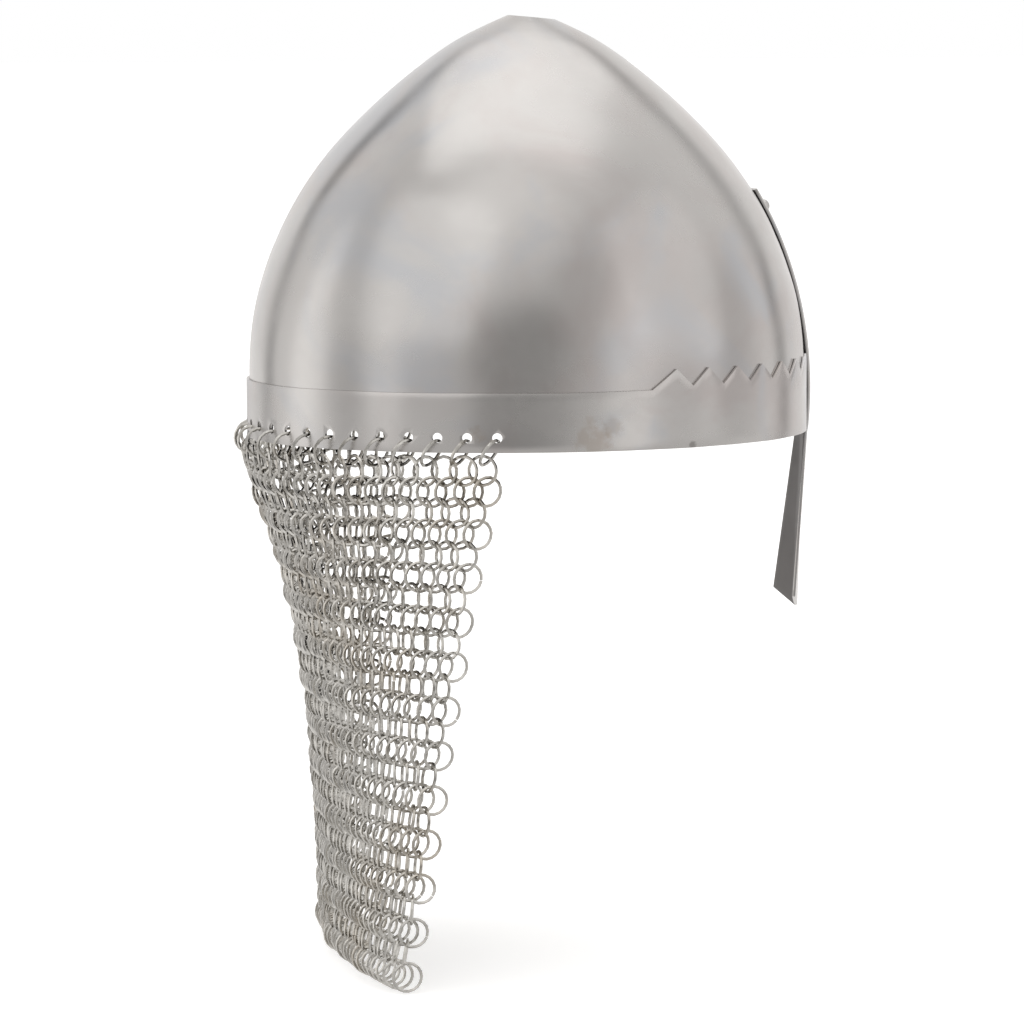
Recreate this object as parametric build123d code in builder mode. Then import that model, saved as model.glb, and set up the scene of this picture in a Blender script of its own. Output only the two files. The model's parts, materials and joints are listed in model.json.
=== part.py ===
"""Pointed steel helmet with a toothed brow band, a folded nasal and a mail curtain behind.

Millimetres. +X is the face side, +Z is up. The origin lies at the centre of the band's lower edge.
"""
from build123d import *
import math
import os

# Helmet body
band_length = 242.4  # outside, front to back
band_width = 202.4  # outside, side to side
band_sheet = 1.2
band_height = 24.5  # plain stretch, behind the teeth
skull_sheet = 1.2
skull_height = 178.0  # top facet over the band's lower edge
skull_lap = 12.5  # how far the band covers the skull's foot
weld_gap = 0.1  # between sheets that are tacked together

# Brow teeth
tooth_count = 17
tooth_pitch = 16.2
tooth_top = 32.8
tooth_valley = 25.8
end_flank = 11.5  # length of the outermost flank on each side

# Point of the skull
facet_tilt = 5.6  # degrees, lower towards the face
apex_rise = 4.0  # the tip that the facet takes away

# Nasal
nasal_sheet = 1.5
nasal_top = 103.0
nasal_strip_width = 16.0
nasal_foot_width = 35.0
nasal_foot = 73.0  # depth of the two lower corners
nasal_tip = 79.0  # depth of the point on the fold
nasal_crease = 0.3  # how far the fold stands ahead of the edges at the band
nasal_fold = 6.0  # and at the corners
nasal_rake = 2.8  # how far the tip lies behind the band's front
nasal_standoff = 0.5  # between the strip and the skull

# Nasal rivet
rivet_height = 95.0
rivet_shank = 3.0
rivet_head = 5.4
rivet_head_rise = 2.6
rivet_tail = 5.2
rivet_tail_rise = 1.1
rivet_clearance = 0.1

# Mail
wire = 1.2
ring_inner = 10.9
column_count = 36
row_count = 24
hanger_count = 24
hole_diameter = 4.2
hole_height = 6.2
curtain_wrap = 155.6  # degrees of the band's oval that the curtain takes up
hanger_drop = 0.75  # hanger ring centre under the band's lower edge
first_drop = 7.8  # hanger ring centre to the first row
row_pitch = 9.306
row_crowding = 0.97  # how much closer the uppermost rows hang
crowding_rows = 6.0
hanger_lean = 20.1  # degrees that a ring is turned from edge-on
lean_spread = 71.6  # where the rings are furthest apart
lean_gathered = 36.5  # where they are closest
gathered_spacing = 4.6

# Hang of the curtain, from its first row down
back_draw = 38.0  # how far the back moves in towards the neck
side_spread = 4.5  # how far each side stands out past the oval that its ends follow
draw_depth = 79.7
draw_power = 1.123
edge_start = 6.29  # how far the first row's ends sit behind the ends of the row of holes
edge_draw = 10.99  # how far the front edges pull back further down
edge_draw_depth = 73.4
edge_slope = 0.1232  # and how they slope from there on
edge_lift = 1.46  # how much higher the slanted hangers carry the ends of the first row
edge_lift_depth = 95.5
edge_sag = 3.04  # how much lower the front edges end up further down
edge_sag_depth = 114.2
hanger_reach = 1.061  # how far a hanger slants towards its rings, as a share of their offset

half_length = band_length / 2
half_width = band_width / 2
reach = half_length - band_sheet - weld_gap  # skull's outside, front
squash = (half_width - band_sheet - weld_gap) / reach
skull_foot = band_height - skull_lap
full_rise = skull_height + apex_rise
crown_rise = skull_height - 2.5 * skull_sheet
ring_radius = (ring_inner + wire) / 2
tilt_x = math.tan(math.radians(facet_tilt))
up = Vector(0, 0, 1)

os.makedirs("parts", exist_ok=True)


def finish(builder, label):
    """Name a finished piece and write it."""
    builder.part.label = label
    export_step(builder.part, f"parts/{label}.step")


def wall_plane(curve, fraction):
    """A plane on an upright wall: local X along the wall, local Y up, local Z out of it."""
    along = curve.tangent_at(fraction)
    return Plane(origin=curve.position_at(fraction), x_dir=along, z_dir=along.cross(up))


def wall_outline(inset, rise):
    """One side outline of the skull's wall, from its foot up to the middle."""
    return [
        (reach - inset, skull_foot),
        (reach - inset, 0.17 * full_rise),
        (0.958 * reach - inset, 0.356 * full_rise),
        (0.835 * reach - 0.9 * inset, 0.546 * full_rise - 0.4 * inset),
        (0.572 * reach - 0.7 * inset, 0.758 * full_rise - 0.7 * inset),
        (0.307 * reach - 0.5 * inset, 0.9 * full_rise - 0.9 * inset),
        (0, rise),
    ]


outer_wall = Spline(wall_outline(0, full_rise), tangents=[(0, 1), (-1, 0.42)])
inner_wall = Spline(wall_outline(skull_sheet, crown_rise), tangents=[(0, 1), (-1, 0.2)])


def skull_share(height):
    """How far up the outer wall's outline a height lies, from 0 to 1."""
    low, high = 0.0, 1.0
    for _ in range(40):
        middle = (low + high) / 2
        if outer_wall.position_at(middle).Y < height:
            low = middle
        else:
            high = middle
    return low


def strip_point(height):
    """The middle of the nasal's sheet over the skull's front, in the side view."""
    share = skull_share(height)
    spot = outer_wall.position_at(share)
    slope = outer_wall.tangent_at(share)
    away = nasal_standoff + nasal_sheet / 2
    return Vector(spot.X + slope.Y * away, spot.Y - slope.X * away)


# The band's middle line: the curtain's stretch behind and the toothed stretch in front
middle_length = half_length - band_sheet / 2
middle_width = half_width - band_sheet / 2
rear_arc = EllipticalCenterArc(
    (0, 0), middle_length, middle_width, start_angle=180 + curtain_wrap / 2, arc_size=-curtain_wrap
)
front_arc = EllipticalCenterArc((0, 0), middle_length, middle_width, start_angle=-90, arc_size=180)

# The nasal's sheet, seen from the side: along the skull, then down over the band
strip_x = half_length + weld_gap + nasal_sheet / 2
strip_upper = strip_point(nasal_top)
strip_middle = strip_point(0.36 * full_rise)
strip_line = Spline([strip_upper, strip_middle, (strip_x, tooth_top + 2), (strip_x, 0)])

# The rivet stands square on that sheet
rivet_spot = Plane.XZ.from_local_coords(strip_point(rivet_height))
rivet_slope = outer_wall.tangent_at(skull_share(rivet_height))
rivet_out = Vector(rivet_slope.Y, 0, -rivet_slope.X)
rivet_plane = Plane(origin=rivet_spot, x_dir=(0, 1, 0), z_dir=rivet_out)
skull_depth = nasal_sheet / 2 + nasal_standoff  # from the rivet's origin in to the skull
rivet_hole = rivet_shank / 2 + rivet_clearance

# Skull: a raised wall, turned round, then pressed to the helmet's oval
with BuildPart() as skull_dome:
    with BuildSketch(Plane.XZ):
        with BuildLine():
            add(outer_wall)
            add(inner_wall)
            Line(outer_wall @ 1, inner_wall @ 1)
            Line(outer_wall @ 0, inner_wall @ 0)
        make_face()
    revolve(axis=Axis.Z)
    split(bisect_by=Plane(origin=(0, 0, skull_height), z_dir=(tilt_x, 0, 1)), keep=Keep.BOTTOM)
    with BuildSketch(rivet_plane):
        Ellipse(rivet_hole / squash, rivet_hole)
    extrude(amount=-3 * skull_depth, mode=Mode.SUBTRACT)
    scale(by=(1, squash, 1))
finish(skull_dome, "skull_dome")

# Brow band: an oval hoop, plain behind, toothed in front, with a row of holes for the curtain
tooth_span = (tooth_count - 1) * tooth_pitch
first_tooth = 0.5 - tooth_span / 2 / front_arc.length
last_tooth_x = front_arc.position_at(first_tooth).X
flank_foot_x = front_arc.position_at(first_tooth - end_flank / front_arc.length).X
valley_shares = [
    0.5 + (index - (tooth_count - 2) / 2) * tooth_pitch / front_arc.length
    for index in range(tooth_count - 1)
]
valley_planes = [wall_plane(front_arc, share) for share in valley_shares]
hole_shares = [(index + 0.5) / hanger_count for index in range(hanger_count)]
hole_planes = [wall_plane(rear_arc, share) for share in hole_shares]
with BuildPart() as brow_band:
    with BuildSketch():
        Ellipse(half_length, half_width)
        Ellipse(half_length - band_sheet, half_width - band_sheet, mode=Mode.SUBTRACT)
    extrude(amount=tooth_top)
    with BuildSketch(Plane.XZ):
        with BuildLine():
            Polyline(
                (-band_length, band_height),
                (flank_foot_x, band_height),
                (last_tooth_x, tooth_top),
                (last_tooth_x, 2 * tooth_top),
                (-band_length, 2 * tooth_top),
                close=True,
            )
        make_face()
    extrude(amount=band_width, both=True, mode=Mode.SUBTRACT)
    with BuildSketch(*valley_planes):
        with BuildLine():
            Polyline(
                (0, tooth_valley),
                (tooth_pitch / 2, tooth_top + 0.01),
                (-tooth_pitch / 2, tooth_top + 0.01),
                close=True,
            )
        make_face()
    extrude(amount=3 * band_sheet, both=True, mode=Mode.SUBTRACT)
    with BuildSketch(*hole_planes):
        with Locations((0, hole_height)):
            Circle(hole_diameter / 2)
    extrude(amount=3 * band_sheet, both=True, mode=Mode.SUBTRACT)
finish(brow_band, "brow_band")


def fold_outline(x, half, fold):
    """The nasal's cut across: two wings that meet on a fold, seen from above."""
    return [
        (x - fold, -half),
        (x, 0),
        (x - fold, half),
        (x - fold - nasal_sheet, half),
        (x - nasal_sheet, 0),
        (x - fold - nasal_sheet, -half),
    ]


# Nasal: a flat strip down the front that opens into a folded, pointed guard
strip_front = strip_x + nasal_sheet / 2
strip_half = nasal_strip_width / 2
flare = (nasal_foot_width / 2 - strip_half) / nasal_foot
with BuildPart() as nasal_guard:
    with BuildSketch(Plane.XZ):
        with BuildLine():
            add(strip_line)
        trace(line_width=nasal_sheet)
    extrude(amount=strip_half, both=True)
    with BuildSketch():
        Polygon(*fold_outline(strip_front, strip_half, nasal_crease), align=None)
    with BuildSketch(Plane.XY.offset(-nasal_tip)):
        Polygon(
            *fold_outline(strip_front - nasal_rake, strip_half + flare * nasal_tip, nasal_fold),
            align=None,
        )
    loft(ruled=True)
    with BuildSketch(Plane.YZ):
        with BuildLine():
            Polyline(
                (0, -nasal_tip),
                (nasal_foot_width / 2, -nasal_foot),
                (nasal_foot_width, -nasal_foot),
                (nasal_foot_width, -2 * nasal_tip),
                (-nasal_foot_width, -2 * nasal_tip),
                (-nasal_foot_width, -nasal_foot),
                (-nasal_foot_width / 2, -nasal_foot),
                close=True,
            )
        make_face()
    extrude(amount=band_length, mode=Mode.SUBTRACT)
    with BuildSketch(rivet_plane):
        Circle(rivet_hole)
    extrude(amount=nasal_sheet, both=True, mode=Mode.SUBTRACT)
finish(nasal_guard, "nasal_guard")

# Rivet: domed head outside, flat tail inside the skull
head_foot = nasal_sheet / 2 + rivet_clearance
tail_face = -skull_depth - skull_sheet - rivet_clearance
with BuildPart() as nasal_rivet:
    with BuildSketch(rivet_plane.offset(tail_face)):
        Circle(rivet_tail / 2)
    extrude(amount=-rivet_tail_rise)
    with BuildSketch(rivet_plane.offset(tail_face)):
        Circle(rivet_shank / 2)
    extrude(amount=head_foot - tail_face)
    with BuildSketch(rivet_plane.offset(head_foot)):
        Circle(rivet_head / 2)
    extrude(amount=rivet_head_rise)
    head_rim = nasal_rivet.edges().filter_by(GeomType.CIRCLE).sort_by(Axis(rivet_spot, rivet_out))[-1]
    fillet(head_rim, radius=0.9 * min(rivet_head_rise, rivet_head / 2))
finish(nasal_rivet, "nasal_rivet")


def ring_plane(centre, across, down, lean):
    """The plane of a ring that hangs down a sheet, turned by its lean from edge-on."""
    out = across.cross(down).normalized()
    level = down.cross(out)
    angle = math.radians(lean)
    radial = level * math.sin(angle) + out * math.cos(angle)
    return Plane(origin=centre, x_dir=radial, z_dir=radial.cross(down))


def row_arc(depth):
    """The middle line of the curtain, seen from above, at a depth under the band."""
    below = max(depth - hanger_drop - first_drop, 0)
    draw = 1 - math.exp(-((below / draw_depth) ** draw_power))
    edge_pull = edge_start + edge_draw * (1 - math.exp(-below / edge_draw_depth)) + edge_slope * below
    back_x = -middle_length + back_draw * draw
    edge_x = (rear_arc @ 1).X - edge_pull
    edge_y = middle_width * math.sqrt(1 - (edge_x / middle_length) ** 2) + side_spread * draw
    half_wrap = math.radians(curtain_wrap / 2)
    along = (edge_x - back_x) / (1 - math.cos(half_wrap))
    aside = edge_y / math.sin(half_wrap)
    arc = EllipticalCenterArc(
        (back_x + along, 0), along, aside, start_angle=180 + curtain_wrap / 2, arc_size=-curtain_wrap
    )
    return Pos(0, 0, -depth) * arc


def row_spot(arc, share):
    """A place on a row's middle line, with the rise or sag that the row has towards its ends."""
    spot = arc.position_at(share)
    below = max(-spot.Z - hanger_drop - first_drop, 0)
    aside = abs(2 * share - 1)
    lift = edge_lift * math.exp(-below / edge_lift_depth) * aside**2
    sag = edge_sag * (1 - math.exp(-below / edge_sag_depth)) * aside**4
    return spot + up * (lift - sag)


def row_planes(row, depth):
    """The planes of one row's rings. Rows lean and shift by turns, which is what links them."""
    turn = -1 if row % 2 == 0 else 1
    arc = row_arc(depth)
    above = row_arc(depth - row_pitch / 3)
    under = row_arc(depth + row_pitch / 3)
    widest = rear_arc.length / column_count
    spread = (arc.length / column_count - gathered_spacing) / (widest - gathered_spacing)
    lean = lean_gathered + (lean_spread - lean_gathered) * max(spread, 0)
    planes = []
    for column in range(column_count):
        share = (column + 0.5 - 0.25 * turn) / column_count
        down = (row_spot(under, share) - row_spot(above, share)).normalized()
        planes.append(ring_plane(row_spot(arc, share), arc.tangent_at(share), down, turn * lean))
    return planes


def ring_row(planes):
    """A row of separate wire rings."""
    with BuildPart(mode=Mode.PRIVATE) as row:
        with Locations(*planes):
            Torus(ring_radius, wire / 2)
    return row


def hanger_plane(share):
    """The plane of the ring in one hole, which slants along the band towards the rings it carries."""
    along = rear_arc.tangent_at(share)
    hole = rear_arc.position_at(share)
    offset = (row_arc(row_depth).position_at(share) - hole).dot(along)
    slant = math.asin(hanger_reach * offset / (2 * ring_radius))
    down = along * math.sin(slant) - up * math.cos(slant)
    centre = hole + up * (ring_radius - hanger_drop) + down * ring_radius
    return ring_plane(centre, along, down, hanger_lean)


# Hanger rings: each goes through a hole and round the band's lower edge
row_depth = hanger_drop + first_drop
hanger_planes = [hanger_plane(share) for share in hole_shares]
hanger_rings = ring_row(hanger_planes)
finish(hanger_rings, "hanger_rings")

# Mail: rows of rings, each ring through two above and two below
mail_rows = []
for row in range(row_count):
    mail_rows.append(row_planes(row, row_depth))
    finish(ring_row(mail_rows[row]), f"mail_row_{row + 1:02d}")
    row_depth += row_pitch - row_crowding * math.exp(-row / crowding_rows)
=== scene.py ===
"""Pointed knight helmet: a polished skull, a toothed brow band, a riveted nasal and a mail curtain.

Metres. +X is the face side and +Z is up. The origin lies at the centre of the band's lower edge.
"""

import json
import math
import random

import bmesh
import bpy
from bpy.props import FloatProperty, FloatVectorProperty, IntProperty, PointerProperty
from mathutils import Matrix, Quaternion, Vector, noise
from mathutils.bvhtree import BVHTree


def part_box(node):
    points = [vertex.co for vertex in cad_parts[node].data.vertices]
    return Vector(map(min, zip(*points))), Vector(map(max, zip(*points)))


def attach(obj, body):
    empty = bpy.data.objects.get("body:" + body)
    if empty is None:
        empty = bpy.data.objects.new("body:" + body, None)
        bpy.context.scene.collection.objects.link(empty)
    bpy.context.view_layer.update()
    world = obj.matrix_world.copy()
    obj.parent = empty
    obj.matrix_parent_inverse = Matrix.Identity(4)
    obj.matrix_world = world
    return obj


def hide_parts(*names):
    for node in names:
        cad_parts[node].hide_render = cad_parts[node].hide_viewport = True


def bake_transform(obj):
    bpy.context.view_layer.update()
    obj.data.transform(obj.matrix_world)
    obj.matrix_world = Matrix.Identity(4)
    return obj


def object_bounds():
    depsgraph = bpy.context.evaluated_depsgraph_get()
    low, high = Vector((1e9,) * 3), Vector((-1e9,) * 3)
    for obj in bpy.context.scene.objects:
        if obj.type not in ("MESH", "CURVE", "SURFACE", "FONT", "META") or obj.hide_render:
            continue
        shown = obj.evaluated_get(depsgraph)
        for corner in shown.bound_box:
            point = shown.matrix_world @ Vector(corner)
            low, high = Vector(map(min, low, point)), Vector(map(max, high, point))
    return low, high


bl_info = {
    "name": "Knight Helmet",
    "version": (1, 0, 0),
    "blender": (4, 5, 0),
    "location": "3D View > Sidebar > Helmet",
    "description": "Builds a steel skull with a toothed brow band, a nasal and a mail curtain",
    "category": "Add Mesh",
}

UP = Vector((0, 0, 1))
FIRST_ROW = 0.00855  # depth of the curtain's first row under the band's lower edge
HANGING_RING = 0.0121  # diameter of a hanging ring's path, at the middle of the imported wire
HANGER_DROP = 0.00075  # how far the top of that path lies under its hole's centre height
GATHERED_SPACING = 0.0046  # ring spacing at which a row is fully gathered
CROWDED_ROWS = 6.0  # number of rows over which the crowding at the top fades

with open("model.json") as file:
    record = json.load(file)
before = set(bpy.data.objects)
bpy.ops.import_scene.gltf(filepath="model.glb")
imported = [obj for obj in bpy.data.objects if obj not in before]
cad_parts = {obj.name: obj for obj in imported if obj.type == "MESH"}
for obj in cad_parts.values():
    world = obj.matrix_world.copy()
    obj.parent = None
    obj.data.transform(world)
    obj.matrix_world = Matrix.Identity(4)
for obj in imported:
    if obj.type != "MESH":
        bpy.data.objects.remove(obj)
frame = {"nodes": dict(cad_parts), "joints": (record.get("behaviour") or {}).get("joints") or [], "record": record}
cad_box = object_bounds()
skull_low, skull_high = (Vector(corner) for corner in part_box("skull_dome"))
band_low, band_high = (Vector(corner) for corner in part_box("brow_band"))
nasal_low, nasal_high = (Vector(corner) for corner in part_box("nasal_guard"))
curtain_rows = sorted(name for name in frame["nodes"] if name.startswith("mail_row_"))


# Sizes and colours that a user would change


class HelmetPlateSettings(bpy.types.PropertyGroup):
    """Sizes of the plates: skull, brow band, nasal and rivet."""

    sheet: FloatProperty(
        name="Sheet", description="Thickness of the skull and the band", default=0.0012, unit="LENGTH"
    )
    nasal_sheet: FloatProperty(
        name="Nasal Sheet", description="Thickness of the nasal", default=0.0015, unit="LENGTH"
    )
    edge_round: FloatProperty(
        name="Edge Round", description="Width of the filed edge of each plate", default=0.00025, unit="LENGTH"
    )
    skull_steps: IntProperty(
        name="Skull Steps", description="Faces once round the skull", default=144, min=24, max=256
    )
    planishing: FloatProperty(
        name="Planishing",
        description="How far hammering leaves the skull's surface uneven",
        default=0.0005,
        unit="LENGTH",
    )
    facet_tilt: FloatProperty(
        name="Facet Tilt",
        description="How far the small flat at the skull's point leans to the face side",
        default=math.radians(5.6),
        unit="ROTATION",
    )
    tooth_count: IntProperty(name="Teeth", description="Teeth along the brow", default=17, min=3, max=41)
    tooth_pitch: FloatProperty(
        name="Tooth Pitch", description="From one tooth to the next", default=0.0162, unit="LENGTH"
    )
    tooth_valley: FloatProperty(
        name="Tooth Valley", description="Height of the notches between teeth", default=0.0258, unit="LENGTH"
    )
    plain_height: FloatProperty(
        name="Plain Height", description="Height of the band behind the teeth", default=0.0245, unit="LENGTH"
    )
    end_flank: FloatProperty(
        name="End Flank", description="Length of the slope behind the last tooth",
        default=0.0115, unit="LENGTH",
    )
    hole_count: IntProperty(
        name="Holes", description="Holes for the hanging rings", default=24, min=2, max=60
    )
    hole_diameter: FloatProperty(
        name="Hole Diameter", description="Width of each hole", default=0.0042, unit="LENGTH"
    )
    hole_height: FloatProperty(
        name="Hole Height", description="From the band's lower edge to a hole's centre", default=0.0062,
        unit="LENGTH",
    )
    strip_width: FloatProperty(
        name="Strip Width", description="Width of the nasal above the brow", default=0.016, unit="LENGTH"
    )
    corner_depth: FloatProperty(
        name="Corner Depth", description="Depth of the nasal's two lower corners",
        default=0.073, unit="LENGTH",
    )


class HelmetMailSettings(bpy.types.PropertyGroup):
    """Sizes of the rings and how the curtain hangs."""

    wire: FloatProperty(name="Wire", description="Thickness of the wire", default=0.0014, unit="LENGTH")
    ring: FloatProperty(
        name="Ring", description="Diameter of a ring at the middle of its wire",
        default=0.01205, unit="LENGTH",
    )
    cut: FloatProperty(
        name="Cut", description="Gap where a ring's two ends meet", default=0.00028, unit="LENGTH"
    )
    ring_steps: IntProperty(
        name="Ring Steps", description="Faces once round a ring", default=17, min=8, max=48
    )
    wire_sides: IntProperty(
        name="Wire Sides", description="Faces once round the wire", default=5, min=3, max=12
    )
    columns: IntProperty(name="Columns", description="Rings in each row", default=36, min=4, max=72)
    wrap: FloatProperty(
        name="Wrap", description="Turn of the oval that the curtain covers", default=math.radians(155.6),
        unit="ROTATION",
    )
    row_pitch: FloatProperty(
        name="Row Pitch", description="From one row down to the next", default=0.009306, unit="LENGTH"
    )
    row_crowding: FloatProperty(
        name="Row Crowding", description="How much closer the uppermost rows hang",
        default=0.00097, unit="LENGTH",
    )
    back_draw: FloatProperty(
        name="Back Draw", description="How far the back hangs in towards the neck",
        default=0.038, unit="LENGTH",
    )
    side_spread: FloatProperty(
        name="Side Spread", description="How far each side stands out past the oval that its ends follow",
        default=0.0045, unit="LENGTH",
    )
    draw_depth: FloatProperty(
        name="Draw Depth", description="Depth over which the curtain draws in", default=0.0797, unit="LENGTH"
    )
    draw_power: FloatProperty(
        name="Draw Power", description="How late the drawing in sets on", default=1.123, min=0.5, max=3
    )
    edge_start: FloatProperty(
        name="Edge Start", description="How far the first row's ends sit behind the last holes",
        default=0.00629, unit="LENGTH",
    )
    edge_draw: FloatProperty(
        name="Edge Draw", description="How far the front edges pull back further down",
        default=0.01099, unit="LENGTH",
    )
    edge_draw_depth: FloatProperty(
        name="Edge Draw Depth", description="Depth over which they pull back", default=0.0734, unit="LENGTH"
    )
    edge_slope: FloatProperty(
        name="Edge Slope", description="How the front edges slope from there on", default=0.1232, min=0, max=1
    )
    edge_lift: FloatProperty(
        name="Edge Lift", description="How much higher the first row's ends hang",
        default=0.00146, unit="LENGTH",
    )
    edge_lift_depth: FloatProperty(
        name="Edge Lift Depth", description="Depth over which the lift fades", default=0.0955, unit="LENGTH"
    )
    edge_sag: FloatProperty(
        name="Edge Sag", description="How much lower the front edges end up", default=0.00304, unit="LENGTH"
    )
    edge_sag_depth: FloatProperty(
        name="Edge Sag Depth", description="Depth over which they sag", default=0.1142, unit="LENGTH"
    )
    hanger_reach: FloatProperty(
        name="Hanger Reach", description="How far a hanging ring slants towards the rings it carries",
        default=1.061, min=0, max=1.5,
    )
    hanger_lean: FloatProperty(
        name="Hanger Lean", description="Turn of a hanging ring from square to the band",
        default=math.radians(20.1), unit="ROTATION",
    )
    lean_gathered: FloatProperty(
        name="Lean Gathered", description="Turn of the rings where they hang closest",
        default=math.radians(36.5), unit="ROTATION",
    )
    lean_spread: FloatProperty(
        name="Lean Spread", description="Turn of the rings where they hang furthest apart",
        default=math.radians(71.6), unit="ROTATION",
    )
    ripple: FloatProperty(
        name="Ripple", description="How far the curtain waves in and out", default=0.0016, unit="LENGTH"
    )
    slack: FloatProperty(
        name="Slack", description="How far single rings turn out of line", default=math.radians(4.5),
        unit="ROTATION",
    )


class HelmetFinishSettings(bpy.types.PropertyGroup):
    """Colours of the steel and the wire."""

    steel: FloatVectorProperty(
        name="Steel", description="Clean polished steel", subtype="COLOR", default=(0.56, 0.545, 0.53)
    )
    warm_cloud: FloatVectorProperty(
        name="Warm Cloud", description="Pinkish clouds left by the polishing wheel", subtype="COLOR",
        default=(0.52, 0.48, 0.465),
    )
    cool_cloud: FloatVectorProperty(
        name="Cool Cloud", description="Bluish clouds", subtype="COLOR", default=(0.495, 0.505, 0.525)
    )
    # Dark colour of the inner faces: painted shade of the helmet's inside; the inner faces are also made rougher,
    # as unpolished steel.
    inner_painted_shade: FloatVectorProperty(
        name="Inner Painted Shade", description="Unpolished steel on the inner faces", subtype="COLOR",
        default=(0.22, 0.21, 0.205),
    )
    stain: FloatVectorProperty(
        name="Stain", description="Brown marks on the band", subtype="COLOR", default=(0.30, 0.19, 0.09)
    )
    wire: FloatVectorProperty(
        name="Wire", description="Zinc-grey mail wire", subtype="COLOR", default=(0.62, 0.605, 0.57)
    )
    wire_patina: FloatVectorProperty(
        name="Wire Patina", description="Brownish film in the mail", subtype="COLOR",
        default=(0.43, 0.38, 0.31),
    )


class HelmetStudioSettings(bpy.types.PropertyGroup):
    """Camera, lights and floor."""

    azimuth: FloatProperty(
        name="Azimuth", description="Camera's turn about the helmet from square-on",
        default=math.radians(-11),
        unit="ROTATION",
    )
    distance: FloatProperty(
        name="Distance", description="From the helmet's axis to the camera", default=2.0, unit="LENGTH"
    )
    height: FloatProperty(
        name="Height", description="Camera over the band's lower edge", default=0.178, unit="LENGTH"
    )
    aim_aside: FloatProperty(
        name="Aim Aside", description="How far left of the axis the camera aims",
        default=0.0069, unit="LENGTH",
    )
    aim_depth: FloatProperty(
        name="Aim Depth", description="How far under the band's lower edge it aims",
        default=0.035, unit="LENGTH",
    )
    roll: FloatProperty(
        name="Roll", description="Camera's turn about its own axis",
        default=math.radians(-0.25), unit="ROTATION",
    )
    lens: FloatProperty(
        name="Lens", description="Focal length on a 36 mm sensor", default=163.6, unit="CAMERA"
    )
    backdrop: FloatProperty(
        name="Backdrop", description="Brightness of the white backdrop", default=1.0, min=0, max=10
    )


# Shared ways of making a piece


def plates():
    return bpy.context.scene.helmet_plates


def mail():
    return bpy.context.scene.helmet_mail


def finishes():
    return bpy.context.scene.helmet_finishes


def add_piece(name, bm, material, crease=math.radians(38)):
    """Turn a finished bmesh into an object whose soft edges shade smooth and hard ones stay hard."""
    for face in bm.faces:
        face.smooth = True
    for edge in bm.edges:
        edge.smooth = len(edge.link_faces) != 2 or edge.calc_face_angle(0) < crease
    mesh = bpy.data.meshes.new(name)
    bm.to_mesh(mesh)
    bm.free()
    mesh.materials.append(material)
    piece = bpy.data.objects.new(name, mesh)
    bpy.context.scene.collection.objects.link(piece)
    return piece


def cad_surface(node):
    """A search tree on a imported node, to lay a new sheet on its faces."""
    bm = bmesh.new()
    bm.from_mesh(frame["nodes"][node].data)
    tree = BVHTree.FromBMesh(bm)
    bm.free()
    return tree


def front_reach(tree, y, z):
    """How far forward a node's front face lies at one place, or beside a hole there."""
    for aside in (0, 0.0022, -0.0022):
        hit = tree.ray_cast(Vector((0.3, y + aside, z)), Vector((-1, 0, 0)))[0]
        if hit is not None:
            return hit.x
    raise RuntimeError(f"nothing to lay the sheet on at {y:.4f}, {z:.4f}")


def back_reach(tree, z):
    """How far back a node reaches in its middle plane at one height."""
    return -tree.ray_cast(Vector((-0.3, 0, z)), Vector((1, 0, 0)))[0].x


def thicken(bm, thickness):
    """Give an outward-facing sheet its thickness inwards and mark the verts of the inner side."""
    inner = bm.verts.layers.float.new("inner_side")
    shell = bmesh.ops.solidify(bm, geom=bm.faces[:], thickness=thickness)["geom"]
    for item in shell:
        if isinstance(item, bmesh.types.BMVert):
            item[inner] = 1.0
    bmesh.ops.recalc_face_normals(bm, faces=bm.faces[:])


def file_edges(bm, width, sharper_than=math.radians(50)):
    """Take the sharpness off a plate's cut edges."""
    sharp = [e for e in bm.edges if len(e.link_faces) == 2 and e.calc_face_angle(0) > sharper_than]
    bmesh.ops.bevel(
        bm, geom=sharp, offset=width, segments=2, profile=0.5, affect="EDGES", clamp_overlap=True, material=-1
    )


class OvalStretch:
    """A stretch of an oval at one height, measured along its length."""

    def __init__(self, centre_x, along, aside, height, start, sweep, steps=720):
        self.spots = []
        self.reached = [0.0]
        for step in range(steps + 1):
            angle = start + sweep * step / steps
            self.spots.append(
                Vector((centre_x + along * math.cos(angle), aside * math.sin(angle), height))
            )
            if step:
                self.reached.append(self.reached[-1] + (self.spots[-1] - self.spots[-2]).length)
        self.length = self.reached[-1]

    def spot(self, share):
        """The place at a share of the length."""
        goal = min(max(share, 0.0), 1.0) * self.length
        low, high = 0, len(self.spots) - 1
        while high - low > 1:
            middle = (low + high) // 2
            if self.reached[middle] <= goal:
                low = middle
            else:
                high = middle
        part = (goal - self.reached[low]) / (self.reached[high] - self.reached[low])
        return self.spots[low].lerp(self.spots[high], part)

    def heading(self, share):
        """The direction along the stretch."""
        return (self.spot(share + 0.002) - self.spot(share - 0.002)).normalized()


# Node groups and materials


def node_group(name, inputs, outputs):
    """A shader group with named sockets, and its inlet and outlet."""
    group = bpy.data.node_groups.new(name, "ShaderNodeTree")
    for label, kind, default in inputs:
        socket = group.interface.new_socket(name=label, in_out="INPUT", socket_type=kind)
        if default is not None:
            socket.default_value = default
    for label, kind in outputs:
        group.interface.new_socket(name=label, in_out="OUTPUT", socket_type=kind)
    return group, group.nodes.new("NodeGroupInput"), group.nodes.new("NodeGroupOutput")


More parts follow.
